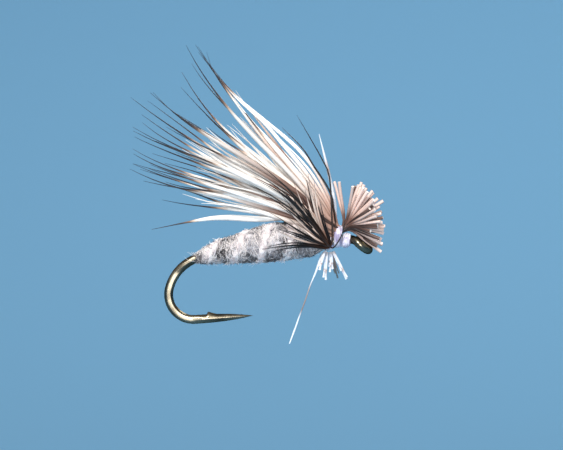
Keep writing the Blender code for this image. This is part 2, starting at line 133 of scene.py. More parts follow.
LEFT_LEGS = (
    ((-1.88, 0.50, -0.17), (-2.95, 1.02, 0.0), (-4.10, 1.30, 0.10), (-5.20, 1.42, 0.05)),
    ((-1.86, 0.62, -0.06), (-2.75, 1.14, 0.55), (-3.60, 1.34, 1.10), (-4.50, 1.45, 1.55)),
    ((-1.78, 0.62, 0.04), (-2.60, 1.18, 1.05), (-3.90, 1.52, 2.35), (-5.60, 1.75, 3.50)),
)
STUBS = (
    ((-1.96, -0.30, -0.44), (-2.10, -0.33, -0.90), (-2.22, -0.36, -1.36)),
    ((-1.80, -0.12, -0.42), (-1.86, -0.14, -1.10), (-1.89, -0.16, -1.88)),
    ((-1.62, 0.10, -0.42), (-1.64, 0.14, -0.95), (-1.66, 0.18, -1.48)),
    ((-1.50, -0.18, -0.40), (-1.14, -0.20, -1.15), (-0.80, -0.22, -1.84)),
)
GREY_STUB = ((-1.58, 0.22, -0.42), (-1.44, 0.30, -1.05), (-1.24, 0.38, -1.82))
TAG = (
    (-2.10, -0.05, -0.62), (-2.42, -0.08, -1.50), (-2.71, -0.10, -2.19), (-2.98, -0.12, -3.00),
    (-3.27, -0.14, -3.78), (-3.45, -0.16, -4.30), (-3.80, -0.18, -5.24),
)
SPIKE = ((-1.36, 0.05, 1.02), (-1.40, 0.06, 2.10), (-1.70, 0.06, 3.60), (-2.24, 0.05, 5.80))


# -- curves and tubes


def shank_z(x):
    """Height of the shank's middle line at x."""
    slope = math.radians(SHANK_SLOPE)
    front_of_bend = BEND_CENTRE[0] - BEND_R * math.sin(slope)
    return BEND_CENTRE[1] + BEND_R * math.cos(slope) + (x - front_of_bend) * math.tan(slope)


def read_at(route, steps, at):
    return np.stack([np.interp(at, steps, route[:, i]) for i in range(3)], 1)


def through(points, count):
    """This many points, evenly spaced along a Catmull-Rom curve through the given ones."""
    given = np.array(points, float)
    padded = np.vstack([2 * given[0] - given[1], given, 2 * given[-1] - given[-2]])
    t = np.linspace(0, 1, 12, endpoint=False)[:, None]
    dense = []
    for p0, p1, p2, p3 in zip(padded, padded[1:], padded[2:], padded[3:]):
        dense.append(
            0.5 * (2 * p1 + (p2 - p0) * t + (2 * p0 - 5 * p1 + 4 * p2 - p3) * t**2
                   + (3 * p1 - p0 - 3 * p2 + p3) * t**3)
        )
    dense = np.vstack([*dense, given[-1:]])
    walked = np.concatenate([[0], np.cumsum(np.linalg.norm(np.diff(dense, axis=0), axis=1))])
    return read_at(dense, walked, np.linspace(0, walked[-1], count))


def profile(values, count):
    """This many numbers, read evenly along a shorter list."""
    return np.interp(np.linspace(0, 1, count), np.linspace(0, 1, len(values)), values)


def unit(v):
    """The same directions at length 1."""
    return v / np.maximum(np.linalg.norm(v, axis=-1, keepdims=True), 1e-12)


def angles_round(count):
    """This many angles, evenly spaced round a full turn."""
    return np.arange(count) / count * 2 * math.pi


def shortened(route, keep, count):
    """The first part of a route, up to this share of it, as this many points."""
    return read_at(route, np.arange(len(route)), np.linspace(0, (len(route) - 1) * keep, count))


def ring_frames(routes):
    """Two unit vectors across each point of each route, carried along it without twisting."""
    ahead = np.empty_like(routes)
    ahead[:, 1:-1] = routes[:, 2:] - routes[:, :-2]
    ahead[:, 0] = routes[:, 1] - routes[:, 0]
    ahead[:, -1] = routes[:, -1] - routes[:, -2]
    ahead = unit(ahead)
    across = np.empty_like(routes)
    steep = np.abs(ahead[:, 0, 1:2]) >= 0.8
    first = np.where(steep, np.array([1.0, 0.0, 0.0]), np.array([0.0, 1.0, 0.0]))
    across[:, 0] = unit(first - ahead[:, 0] * (first * ahead[:, 0]).sum(1, keepdims=True))
    for i in range(1, routes.shape[1]):
        carried = across[:, i - 1]
        across[:, i] = unit(carried - ahead[:, i] * (carried * ahead[:, i]).sum(1, keepdims=True))
    return across, np.cross(ahead, across)


def add_object(name, data):
    """An object for a mesh, a light or a camera, put in the scene."""
    made = bpy.data.objects.new(name, data)
    bpy.context.scene.collection.objects.link(made)
    return made


def add_values(mesh, name, domain, values):
    """One number for each point or face, for a material to read."""
    layer = mesh.attributes.new(name, "FLOAT", domain)
    layer.data.foreach_set("value", values.ravel().astype(np.float32))


def add_map(mesh, corners):
    """The map on which the piece's materials are baked."""
    layer = mesh.uv_layers.new(name=BAKE_UV)
    layer.data.foreach_set("uv", corners.ravel().astype(np.float32))


def smooth(mesh):
    mesh.polygons.foreach_set("use_smooth", np.ones(len(mesh.polygons), bool))


SHARP_DEGREES = 55.0


def tube_mesh(name, routes, radii, tones, sides=7, squash=1.0, reach=1.0):
    """One closed tube for each route, as one mesh piece.

    Each point carries the attributes "along" (0 at the route's start, reach at its end) and
    "tone" (one number for the whole strand), and each end cap's faces carry "cut_end". On the
    bake's map each strand is a strip of its own.
    """
    routes = np.asarray(routes, float)
    radii = np.asarray(radii, float)
    strands, points = routes.shape[:2]
    across, over = ring_frames(routes)
    turn = angles_round(sides)
    ring = (
        across[:, :, None] * np.cos(turn)[None, None, :, None]
        + over[:, :, None] * (np.sin(turn) * squash)[None, None, :, None]
    )
    places = (routes[:, :, None] + ring * radii[:, :, None, None]) * MM
    index = np.arange(strands * points * sides).reshape(strands, points, sides)
    after = np.roll(index, -1, 2)
    quads = np.stack([index[:, :-1], after[:, :-1], after[:, 1:], index[:, 1:]], -1).reshape(-1, 4)
    caps = np.concatenate([index[:, 0, ::-1], index[:, -1]])
    mesh = bpy.data.meshes.new(name)
    mesh.from_pydata(places.reshape(-1, 3), [], quads.tolist() + caps.tolist())
    reach = np.broadcast_to(np.asarray(reach, float), (strands,))
    along = (reach[:, None] * np.linspace(0, 1, points))[:, :, None]
    add_values(mesh, "along", "POINT", np.broadcast_to(along, index.shape))
    tone = np.asarray(tones, float)[:, None, None]
    add_values(mesh, "tone", "POINT", np.broadcast_to(tone, index.shape))
    add_values(mesh, "cut_end", "FACE", np.concatenate([np.zeros(len(quads)), np.ones(len(caps))]))
    add_map(mesh, strip_map(strands, points, sides))
    smooth(mesh)
    mesh.set_sharp_from_angle(angle=math.radians(SHARP_DEGREES))
    return add_object(name, mesh)


def quad_corners(u, v):
    """Map places of a grid of quads, four corners each."""
    u0, u1 = u[:-1, None], u[1:, None]
    v0, v1 = v[None, :-1], v[None, 1:]
    return np.stack(np.broadcast_arrays(u0, v0, u0, v1, u1, v1, u1, v0), -1).reshape(-1, 4, 2)


STRIP_MARGIN = 0.03
STRIP_LOW = 0.07
STRIP_HEIGHT = 0.86
STRIP_CAP = (0.011, 0.35)


def strip_map(strands, points, sides):
    """Map places for tube_mesh: a strip for each strand, with its caps at the strip's ends."""
    row_of = np.arange(strands)
    height = 1.0 / strands
    u = STRIP_MARGIN + (1 - 2 * STRIP_MARGIN) * np.linspace(0, 1, points)
    v = np.arange(sides + 1) / sides * STRIP_HEIGHT + STRIP_LOW
    one = quad_corners(u, v)
    quads = np.broadcast_to(one, (strands, *one.shape)).copy()
    quads[..., 1] = (quads[..., 1] + row_of[:, None, None]) * height
    turn = angles_round(sides)
    caps = []
    for middle, way in ((STRIP_MARGIN / 2, -1), (1 - STRIP_MARGIN / 2, 1)):
        wide, high = STRIP_CAP[0] * np.cos(turn), STRIP_CAP[1] * np.sin(way * turn)
        disc = np.stack([middle + wide, 0.5 + high], -1)
        placed = np.broadcast_to(disc, (strands, sides, 2)).copy()
        placed[..., 1] = (placed[..., 1] + row_of[:, None]) * height
        caps.append(placed.reshape(-1, 2))
    return np.vstack([quads.reshape(-1, 2), *caps])


def sheet_mesh(name, grid):
    """A smooth closed tube through a grid of points (along, across), with its ends filled."""
    points, sides = grid.shape[:2]
    index = np.arange(points * sides).reshape(points, sides)
    after = np.roll(index, -1, 1)
    quads = np.stack([index[:-1], index[1:], after[1:], after[:-1]], -1).reshape(-1, 4)
    caps = [index[0].tolist(), index[-1, ::-1].tolist()]
    mesh = bpy.data.meshes.new(name)
    mesh.from_pydata((grid * MM).reshape(-1, 3), [], quads.tolist() + caps)
    along = np.linspace(0, 1, points)[:, None]
    add_values(mesh, "along", "POINT", np.broadcast_to(along, (points, sides)))
    add_map(mesh, sheet_map(points, sides))
    smooth(mesh)
    return add_object(name, mesh)


SHEET_MARGIN = 0.04
SHEET_SIZE = 0.92
SHEET_CAP_R = 0.015
SHEET_CAP_AT = 0.02


def sheet_map(points, sides):
    """Map places for sheet_mesh: its side as one sheet, its two caps in opposite corners."""
    u = SHEET_MARGIN + SHEET_SIZE * np.linspace(0, 1, points)
    v = SHEET_MARGIN + SHEET_SIZE * np.arange(sides + 1) / sides
    side = quad_corners(u, v)[:, [0, 3, 2, 1]].reshape(-1, 2)
    turn = angles_round(sides)
    cap = SHEET_CAP_R * np.stack([np.cos(turn), np.sin(turn)], -1)
    return np.vstack([side, SHEET_CAP_AT + cap, 1 - SHEET_CAP_AT + cap])


def body_section(x):
    """Centre height and radius of the dubbed body at x, for one number or an array."""
    at = [s[0] for s in BODY_STATIONS]
    top = np.interp(x, at, [s[1] for s in BODY_STATIONS])
    low = np.interp(x, at, [s[2] for s in BODY_STATIONS])
    return (top + low) / 2, (top - low) / 2


def reseed(seed):
    """Starts the random draws again, so that one sub-part's don't change the next one's."""
    RNG.bit_generator.state = np.random.default_rng(seed).bit_generator.state


def wander(count, points, size, bends=1.5):
    """Gentle sideways waves for each strand, 0 at its start."""
    t = np.linspace(0, 1, points)[None, :, None]
    phase = RNG.uniform(0, 2 * math.pi, (count, 1, 3))
    pace = RNG.uniform(0.5, 1.0, (count, 1, 3)) * bends * 2 * math.pi
    return size * (np.sin(phase + pace * t) - np.sin(phase)) * t


def finish(piece, material, body, slot, *nodes):
    """Gives a piece its material and its body ('flex' only bakes its place into the mesh), and hides the
    nodes it stands for; the slot is not used.
    """
    piece.data.materials.append(material)
    if body == "flex":
        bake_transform(piece)
    else:
        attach(piece, body)
    if nodes:
        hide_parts(*nodes)


# -- materials


class Look:
    """A Principled material and short ways to add nodes to it."""

    def __init__(self, name, roughness=0.5, metallic=0.0, **others):
        self.material = bpy.data.materials.new(name)
        self.material.use_nodes = True
        self.tree = self.material.node_tree
        self.shader = self.tree.nodes["Principled BSDF"]
        self.shader.inputs["Roughness"].default_value = roughness
        self.shader.inputs["Metallic"].default_value = metallic
        for key, value in others.items():
            self.shader.inputs[key.replace("_", " ")].default_value = value

    def add(self, kind, links=(), **values):
        node = self.tree.nodes.new("ShaderNode" + kind)
        for key, value in values.items():
            setattr(node, key, value)
        for socket, source in dict(links).items():
            if isinstance(source, bpy.types.NodeSocket):
                self.tree.links.new(source, node.inputs[socket])
            else:
                node.inputs[socket].default_value = source
        return node

    def attribute(self, name):
        return self.add("Attribute", attribute_name=name).outputs["Fac"]

    def math(self, operation, a, b, c=None):
        links = {0: a, 1: b} if c is None else {0: a, 1: b, 2: c}
        return self.add("Math", links, operation=operation).outputs[0]

    def ramp(self, value, *stops):
        node = self.add("ValToRGB", {0: value})
        elements = node.color_ramp.elements
        for i, (at, colour) in enumerate(stops):
            element = elements[i] if i < 2 else elements.new(at)
            element.position = at
            element.color = rgb(*colour)
        return node.outputs["Color"]

    def mix(self, factor, a, b, mode="MIX"):
        node = self.add("Mix", data_type="RGBA", blend_type=mode)
        for socket, source in zip((node.inputs[0], node.inputs[6], node.inputs[7]), (factor, a, b)):
            if isinstance(source, bpy.types.NodeSocket):
                self.tree.links.new(source, socket)
            else:
                socket.default_value = source
        return node.outputs[2]

    def vector(self, x, y, z=0.0):
        return self.add("CombineXYZ", {0: x, 1: y, 2: z}).outputs[0]

    def noise(self, vector, scale, detail=2.0, roughness=0.5):
        links = {"Scale": scale, "Detail": detail, "Roughness": roughness}
        if vector is not None:
            links["Vector"] = vector
        return self.add("TexNoise", links).outputs["Fac"]

    def place(self):
        return self.add("TexCoord").outputs["Object"]

    def set(self, socket, source):
        self.tree.links.new(source, self.shader.inputs[socket])

    def bump(self, height, strength, distance):
        node = self.add("Bump", {"Height": height, "Strength": strength, "Distance": distance})
        self.set("Normal", node.outputs[0])


def rgb(*display):
    """A colour from display values of 0 to 255, as the linear numbers that shaders take."""
    linear = [c / 255 / 12.92 if c <= 10 else ((c / 255 + 0.055) / 1.055) ** 2.4 for c in display]
    return (*linear, 1.0)


def hair_look(
    name, stops, roughness=0.42, tone_range=0.25, sheen=0.1, dark_stops=None, dark_share=0.3, cut=None
):
    """Hair whose colour runs along its length, with streaks and a tone of its own.

    Strands whose tone is under dark_share take the darker run of colours. Stops are a place
    along the hair and a colour; the first two are the root and the tip.
    """
    look = Look(name, roughness, Sheen_Weight=sheen, Sheen_Roughness=0.4, Specular_IOR_Level=0.4)
    along, tone = look.attribute("along"), look.attribute("tone")
    mottle = look.vector(look.math("MULTIPLY", along, 9.0), look.math("MULTIPLY", tone, 61.0))
    slow = look.noise(mottle, 1.0)
    streaks = look.vector(look.math("MULTIPLY", along, 34.0), look.math("MULTIPLY", tone, 143.0))
    fine = look.noise(streaks, 1.0, 3.0)
    shifted = look.math("MULTIPLY_ADD", look.math("SUBTRACT", tone, 0.5), 0.08, along)
    shifted = look.math("MULTIPLY_ADD", look.math("SUBTRACT", slow, 0.5), 0.06, shifted)
    colour = look.ramp(shifted, *stops)
    if dark_stops:
        is_dark = look.math("LESS_THAN", tone, dark_share)
        colour = look.mix(is_dark, colour, look.ramp(shifted, *dark_stops))
    own = look.math("FRACT", look.math("MULTIPLY", tone, 17.3), 0.0)
    bright = look.math("MULTIPLY_ADD", own, tone_range, 1.0 - tone_range)
    bright = look.math("MULTIPLY", bright, look.math("MULTIPLY_ADD", fine, 0.30, 0.85))
    colour = look.mix(1.0, colour, look.vector(bright, bright, bright), "MULTIPLY")
    if cut:
        colour = look.mix(look.attribute("cut_end"), colour, rgb(*cut))
    look.set("Base Color", colour)
    look.set("Roughness", look.math("MULTIPLY_ADD", fine, 0.22, roughness - 0.08))
    look.bump(fine, 0.15, 0.00002)
    return look.material


def dark_hair_look():
    """Near-black hair with a brown root, for the legs and the wing's dark edge."""
    stops = ((0.0, (84, 54, 38)), (1.0, (12, 13, 18)), (0.14, (44, 28, 20)), (0.4, (14, 11, 11)))
    return hair_look("dark_hair_look", stops, 0.34, sheen=0.0)


def fibre_look(name, colour):
    """One shade of loose dubbing fibre."""
    look = Look(name, 0.6, Base_Color=rgb(*colour), Sheen_Weight=0.2, Sheen_Roughness=0.5)
    return look.material


def felt_look(name, dark, light, scale):
    """The matted surface of wound dubbing under its loose fibres."""
    look = Look(name, 0.9, Sheen_Weight=0.35, Sheen_Roughness=0.6)
    place = look.place()
    broad = look.noise(place, scale, 3.0, 0.6)
    fine = look.noise(place, scale * 9, 3.0, 0.7)
    mixed = look.math("ADD", look.math("MULTIPLY", broad, 0.75), look.math("MULTIPLY", fine, 0.25))
    look.set("Base Color", look.ramp(mixed, (0.38, dark), (0.60, light)))
    look.set("Roughness", look.math("MULTIPLY_ADD", fine, 0.2, 0.75))
    look.bump(fine, 0.6, 0.00005)
    return look.material


def thread_look(name, colour, shade):
    """Waxed tying thread: fine twisted filaments with a soft gloss."""
    look = Look(name, 0.4, Sheen_Weight=0.2, Sheen_Roughness=0.4, Coat_Weight=0.25, Coat_Roughness=0.25)
    along = look.attribute("along")
    place = look.place()
    # Random patches of the shade colour are painted shade on the white thread.
    shade_patches = look.noise(place, 2500.0, 2.0)
    look.set("Base Color", look.ramp(shade_patches, (0.36, shade), (0.56, colour)))
    twist = look.add("TexWave", {"Vector": place, "Scale": 5200.0, "Distortion": 2.0, "Detail": 1.0})
    twist.bands_direction = "DIAGONAL"
    look.set("Roughness", look.math("MULTIPLY_ADD", look.noise(along, 40.0), 0.25, 0.3))
    look.bump(twist.outputs["Fac"], 0.4, 0.00001)
    return look.material


def steel_look():
    """Bronzed hook wire: a thin brown finish over steel, with small worn specks."""
    look = Look("bronzed_steel", 0.2, 1.0, Specular_Tint=rgb(90, 84, 72))
    place = look.place()
    cloud = look.noise(place, 900.0, 3.0)
    colour = look.ramp(cloud, (0.3, (84, 77, 65)), (0.7, (140, 131, 112)))
    speck = look.noise(place, 9000.0, 4.0, 0.7)
    worn = look.ramp(speck, (0.66, (0, 0, 0)), (0.74, (255, 255, 255)))
    look.set("Base Color", look.mix(worn, colour, rgb(206, 198, 176)))
    look.set("Roughness", look.math("MULTIPLY_ADD", speck, 0.22, 0.17))
    look.bump(speck, 0.12, 0.00001)
    return look.material


# -- hook


EYE_LOOP = (142.0, -136.0)
EYE_STEP = 6.0
EYE_END_SHARE = 0.62
EYE_END_GROWTH = 0.02
NECK_X = -0.53
POINT_STEPS = 70


def hook_route():
    """Middle line and radii of the wire: the eye, the shank, the bend in two arcs, the point."""
    tilt, turn = math.radians(EYE_TILT), math.radians(EYE_TURN)
    down = np.array((math.cos(tilt), 0.0, -math.sin(tilt)))
    up = np.array((-down[2], 0.0, down[0]))
    side = math.cos(turn) * np.array((0.0, 1.0, 0.0)) + math.sin(turn) * up
    route, radii = [], []
    for degrees in np.arange(*EYE_LOOP, -EYE_STEP):
        angle = math.radians(degrees)
        route.append(EYE_R * (math.cos(angle) * down + math.sin(angle) * side))
        radii.append(EYE_WIRE_R * min(1.0, EYE_END_SHARE + EYE_END_GROWTH * (EYE_LOOP[0] - degrees)))
    front = (SHANK_FRONT_X, 0.0, shank_z(SHANK_FRONT_X))
    knee = (NECK_X, -0.05, shank_z(NECK_X) + 0.01)
    neck = through([route[-2], route[-1], knee, front], 10)[3:]
    route += list(neck)
    radii += list(np.linspace(EYE_WIRE_R, WIRE_R, len(neck)))
    bend_start = 90.0 + SHANK_SLOPE
    start_x = BEND_CENTRE[0] + BEND_R * math.cos(math.radians(bend_start))
    for x in np.linspace(SHANK_FRONT_X, start_x, 24)[1:-1]:
        route.append((x, 0.0, shank_z(x)))
        radii.append(WIRE_R)
    heel = math.radians(HEEL_START)
    heel_x = BEND_CENTRE[0] + (BEND_R - HEEL_R) * math.cos(heel)
    heel_z = BEND_CENTRE[1] + (BEND_R - HEEL_R) * math.sin(heel)
    for centre_x, centre_z, radius, angles in (
        (*BEND_CENTRE, BEND_R, np.linspace(bend_start, HEEL_START, 36)),
        (heel_x, heel_z, HEEL_R, np.linspace(HEEL_START, BEND_END, 44)[1:]),
    ):
        for angle in np.radians(angles):
            route.append((centre_x + radius * math.cos(angle), 0.0, centre_z + radius * math.sin(angle)))
            radii.append(WIRE_R)
    start = np.array(route[-1])
    tip = np.array((POINT_TIP[0], 0.0, POINT_TIP[1]))
    for share in np.linspace(0, 1, POINT_STEPS)[1:]:
        route.append(start + (tip - start) * share)
        radii.append(WIRE_R * max(1.0 - share**POINT_TAPER, 0.03))
    return np.array(route), np.array(radii)


FORGED_FROM = (-8.4, -1.1)
FORGED_EASE = (0.5, 0.4)
FORGED_ROUND = 0.12
POINT_TOP_Z = -3.3
BARB_CUT = 0.05


def make_hook():
    """The wire, its bend forged flat on both sides, and its barb lifted from the point's top."""
    route, radii = hook_route()
    hook = tube_mesh("bronzed_hook", route[None], radii[None], [0.5], sides=28)
    places = np.empty(len(hook.data.vertices) * 3, np.float32)
    hook.data.vertices.foreach_get("co", places)
    x, y, z = (places.reshape(-1, 3) / MM).T
    behind = np.clip((FORGED_FROM[0] - x) / FORGED_EASE[0], 0, 1)
    below = np.clip((FORGED_FROM[1] - z) / FORGED_EASE[1], 0, 1)
    flat_y = np.clip(y, -FORGED_HALF_WIDTH, FORGED_HALF_WIDTH)
    y += (flat_y + FORGED_ROUND * (y - flat_y) - y) * (behind * below)
    leg_z = np.interp(x, route[-POINT_STEPS:, 0], route[-POINT_STEPS:, 2])
    top = np.clip((z - leg_z) / WIRE_R, 0, 1) ** 3 * (z < POINT_TOP_Z)
    rising = np.clip((BARB_ENDS[1] - x) / (BARB_ENDS[1] - BARB_ENDS[0]), 0, 1)
    falling = np.clip((x - BARB_ENDS[0]) / BARB_CUT + 1, 0, 1)
    z += BARB_HEIGHT * (rising * falling) * top
    hook.data.vertices.foreach_set("co", (np.stack([x, y, z], 1) * MM).ravel())
    hook.data.update()
    finish(hook, steel_look(), "root", "hook_steel", "hook")


# -- fur body


BODY_GRID = (190, 96)
BODY_SMOOTHING = 19
WRAP_PITCH = 0.42
RIB_STEPS_PER_TURN = 72
RIB_SIDES = 14


def smoothed(values, width):
    """Numbers along a line, each averaged with its neighbours."""
    kernel = np.hanning(width)
    return np.convolve(np.pad(values, width // 2, "edge"), kernel / kernel.sum(), "valid")


def rib_x(t):
    """Middle of the rib at this share of its winding, from the rear."""
    return RIB_START_X + RIB_PITCH * RIB_TURNS * t


def rib_angle(t):
    return math.radians(RIB_START_ANGLE) - 2 * math.pi * RIB_TURNS * t


def make_body():
    """The matted surface of the grey dubbing, wound in soft turns."""
    points, sides = BODY_GRID
    xs = np.linspace(BODY_STATIONS[0][0], BODY_STATIONS[-1][0], points)
    centre, radius = body_section(xs)
    radius = smoothed(radius, BODY_SMOOTHING)
    centre = smoothed(centre, BODY_SMOOTHING)
    turn = angles_round(sides)
    grid = np.empty((points, sides, 3))
    for i in range(points):
        for j in range(sides):
            out = radius[i]
            p = Vector((xs[i], out * math.cos(turn[j]), centre[i] + out * math.sin(turn[j])))
            wrap = math.sin((xs[i] / WRAP_PITCH) * 2 * math.pi + turn[j] + 2 * noise.noise(p * 0.9))
            out += 0.028 * wrap + 0.05 * noise.noise(p * 3.2) + 0.035 * noise.noise(p * 8.0)
            grid[i, j] = (xs[i], out * math.cos(turn[j]), centre[i] + out * math.sin(turn[j]))
    body = sheet_mesh("fur_body", grid)
    grey_felt = felt_look("grey_felt", (36, 32, 35), (214, 205, 206), 2600.0)
    finish(body, grey_felt, "root", "grey_fur", "dubbed_body", "thread_base")


def make_rib():
    """The white strand wound over the grey, ragged and thin at its ends."""
    steps = int(RIB_TURNS * RIB_STEPS_PER_TURN)
    grid = np.empty((steps, RIB_SIDES, 3))
    for i in range(steps):
        t = i / (steps - 1)
        angle = rib_angle(t)
        wide = 0.19 + 0.09 * noise.noise(Vector((t * 17.0, 3.0, 0.0)))
        width = wide * min(1.0, 0.35 + 9 * t, 0.35 + 9 * (1 - t))
        for j in range(RIB_SIDES):
            around = j / RIB_SIDES * 2 * math.pi
            x = rib_x(t) + width * math.cos(around)
            mid, out = body_section(x)
            p = Vector((x, out * math.cos(angle), mid + out * math.sin(angle)))
            x += 0.10 * noise.noise(p * 3.0) + 0.05 * noise.noise(p * 9.0)
            out += 0.02 + 0.075 * math.sin(around) + 0.05 * noise.noise(p * 6.0)
            grid[i, j] = (x, out * math.cos(angle), mid + out * math.sin(angle))
    rib = sheet_mesh("fur_rib", grid)
    white_felt = felt_look("white_felt", (180, 162, 160), (248, 238, 234), 3000.0)
    finish(rib, white_felt, "root", "white_fur", "body_rib")


def fibre_routes(x, angle, count, length, lift, drift, points=7):
    """Fibres that lie round the body from the given places and rise off it towards their ends."""
    t = np.linspace(0, 1, points)[None]
    radius = body_section(x)[1]
    spin = length / np.maximum(radius, 0.2)
    heading = RNG.normal(0, 0.55, count)
    around = angle[:, None] - (spin * np.cos(heading))[:, None] * t
    along = x[:, None] + (length * np.sin(heading) * 0.8 + drift)[:, None] * t
    around += wander(count, points, 0.10, 1.2)[..., 0]
    along += wander(count, points, 0.07, 1.2)[..., 1]
    centre, radius = body_section(along)
    height = 0.02 + lift[:, None] * t**1.5 + 0.02 * np.sin(math.pi * t)
    out = radius + height
    return np.stack([along, out * np.cos(around), centre + out * np.sin(around)], -1)


FIBRE_PROFILE = (0.7, 1.0, 1.0, 0.85, 0.35)
FIBRE_THICK = (0.006, 0.012)


def add_fibres(name, x, angle, thick, length, lift, colour, slot):
    """Loose fibres of one shade; thick, length and lift are the least and most of each."""
    count = len(x)
    drift = RNG.normal(0, 0.06, count)
    lifts = lift[0] + RNG.gamma(1.2, lift[1], count)
    routes = fibre_routes(x, angle, count, RNG.uniform(*length, count), lifts, drift)
    taper = profile(FIBRE_PROFILE, routes.shape[1])
    radii = RNG.uniform(*thick, count)[:, None] * taper[None]
    fibres = tube_mesh(name, routes, radii, np.full(count, 0.5), sides=4)
    finish(fibres, fibre_look(name, colour), "root", slot)


FUR_PATCHES = 70
PATCH_SPREAD = (0.13, 0.25)
# The dubbing's own dark, middle and light fibres; the last number places them as painted light and shade.
GREY_SHADES = (
    ("grey_fibres_dark", 1700, (32, 28, 30), -0.42),
    ("grey_fibres_middle", 900, (128, 120, 122), 0.0),
    ("grey_fibres_light", 1600, (238, 228, 224), 0.42),
)
WHITE_SHADES = (
    ("white_fibres_bright", 1000, (252, 246, 243)),
    ("white_fibres_pink", 800, (222, 206, 210)),
)
STRAY_FIBRES = 170


def make_fibres():
    """Loose fibres: grey ones in patches, white ones along the rib, and strays all over.

    A shade's last number moves it towards the body's top and bottom (below 0) or its sides; this puts the
    dark fibres at the top and bottom as painted shade and the light ones at the sides as painted light.
    """
    first, last = BODY_STATIONS[0][0], BODY_STATIONS[-1][0]
    for name, count, colour, to_sides in GREY_SHADES:
        patches = RNG.uniform((first + 0.05, 0.0), (last - 0.1, 2 * math.pi), (FUR_PATCHES, 2))
        picked = patches[RNG.integers(0, FUR_PATCHES, count)]
        x, angle = (picked + RNG.normal(0, PATCH_SPREAD, (count, 2))).T
        x = np.clip(x, first + 0.02, last - 0.05)
        # Painted shade and light: dark fibres pushed to the top and bottom, light ones to the sides.
        angle = angle - to_sides * np.sin(2 * angle)
        add_fibres(name, x, angle, FIBRE_THICK, (0.25, 0.7), (0.0, 0.035), colour, "grey_fur")
    for name, count, colour in WHITE_SHADES:
        t = RNG.uniform(0, 1, count)
        x = rib_x(t) + RNG.normal(0, 0.11, count)
        add_fibres(name, x, rib_angle(t), FIBRE_THICK, (0.2, 0.55), (0.03, 0.04), colour, "white_fur")
    x = RNG.uniform(first, last - 0.6, STRAY_FIBRES)
    angle = RNG.uniform(0, 2 * math.pi, STRAY_FIBRES)
    thick, length, lift, colour = (0.004, 0.007), (0.4, 1.1), (0.10, 0.06), (240, 238, 242)
    add_fibres("stray_fibres", x, angle, thick, length, lift, colour, "white_fur")


# -- thread


WRAP_TURNS = 5
WRAP_LAYERS = 3
WRAP_POINTS = 40
WRAP_WOBBLE = 0.022
WRAP_DEPTH = 0.022


def winding_routes(ends, radius, centre_height, bulge):
    """Thread turns laid side by side over a barrel, each layer crossing the one below."""
    routes = []
    t = np.linspace(0, 1, int(WRAP_TURNS * WRAP_POINTS))
    for layer in range(WRAP_LAYERS):
        share = t if layer % 2 == 0 else 1 - t
        wobble = WRAP_WOBBLE * np.sin(7 * t * WRAP_TURNS + layer)
        x = ends[0] + (ends[1] - ends[0]) * (0.06 + 0.88 * share) + wobble
        out = radius * (1 - bulge * (2 * share - 1) ** 2) + WRAP_DEPTH * layer
        angle = 2 * math.pi * WRAP_TURNS * t * (1 if layer % 2 == 0 else 0.8) + layer * 1.3
        mid = centre_height + (x - sum(ends) / 2) * math.tan(math.radians(SHANK_SLOPE))
        routes.append(np.stack([x, out * np.cos(angle), mid + out * np.sin(angle)], -1))
    return np.array(routes)


def make_threads():
    """The collar, the head and the binding of the legs."""
    white = thread_look("white_thread", (234, 228, 238), (160, 150, 180))
    for name, ends, radius, height, bulge, thick, node in (
        ("collar_wraps", (-1.48, -1.03), 0.52, COLLAR_CENTRE_Z, 0.10, 0.046, "collar_thread"),
        ("head_wraps", (-1.05, -0.60), 0.33, shank_z(-0.82), 0.26, 0.043, "head_thread"),
        ("leg_wraps", (-1.98, -1.50), 0.34, shank_z(-1.74), 0.12, 0.043, "leg_binding"),
    ):
        routes = winding_routes(ends, radius, height, bulge)
        radii = np.full(routes.shape[:2], thick)
        wraps = tube_mesh(name, routes, radii, [0.3, 0.5, 0.7], sides=6)
        finish(wraps, white, "root", "tying_thread", node)


# -- hair


def wing_axis(row, column, count):
    """Middle line of a tuft, from inside the collar to its tip."""
    angle = math.radians(WING_ANGLE)
    along = np.array((-math.cos(angle), 0.0, math.sin(angle)))
    up = np.array((along[2], 0.0, -along[0]))
    base_end = WING_START + WING_BASE_LENGTH * along
    degrees, length, side, lift = WING_ROWS[row][column]
    height = (row - (len(WING_ROWS) - 1) / 2) * TUFT_PITCH * 0.87
    across = (column - (len(WING_ROWS[row]) - 1) / 2) * TUFT_PITCH
    root = base_end + height * up + np.array((0.0, across, 0.0))
    tip = WING_HINGE + length * direction(degrees)
    tip[1] = side
    leave = direction(WING_ANGLE + height * WING_FAN_PER_MM, 0.22 * across)
    arrive = direction(degrees + lift, 0.12 * side)
    span = np.linalg.norm(tip - root)
    t = np.linspace(0, 1, 31)[:, None]
    curve = (
        (1 - t) ** 3 * root
        + 3 * t * (1 - t) ** 2 * (root + 0.27 * span * leave)
        + 3 * t * t * (1 - t) * (tip - 0.35 * span * arrive)
        + t**3 * tip
    )
    waist = np.array((-1.18, across * 0.72, 0.56 + 0.55 * height))
    return through([waist, (waist + root) / 2 + 0.05 * up * height, *curve[::3]], count)


def direction(degrees, side=0.0):
    """A unit vector to the rear, raised by degrees, with a share to the side."""
    angle = math.radians(degrees)
    v = np.array((-math.cos(angle), side, math.sin(angle)))
    return v / np.linalg.norm(v)


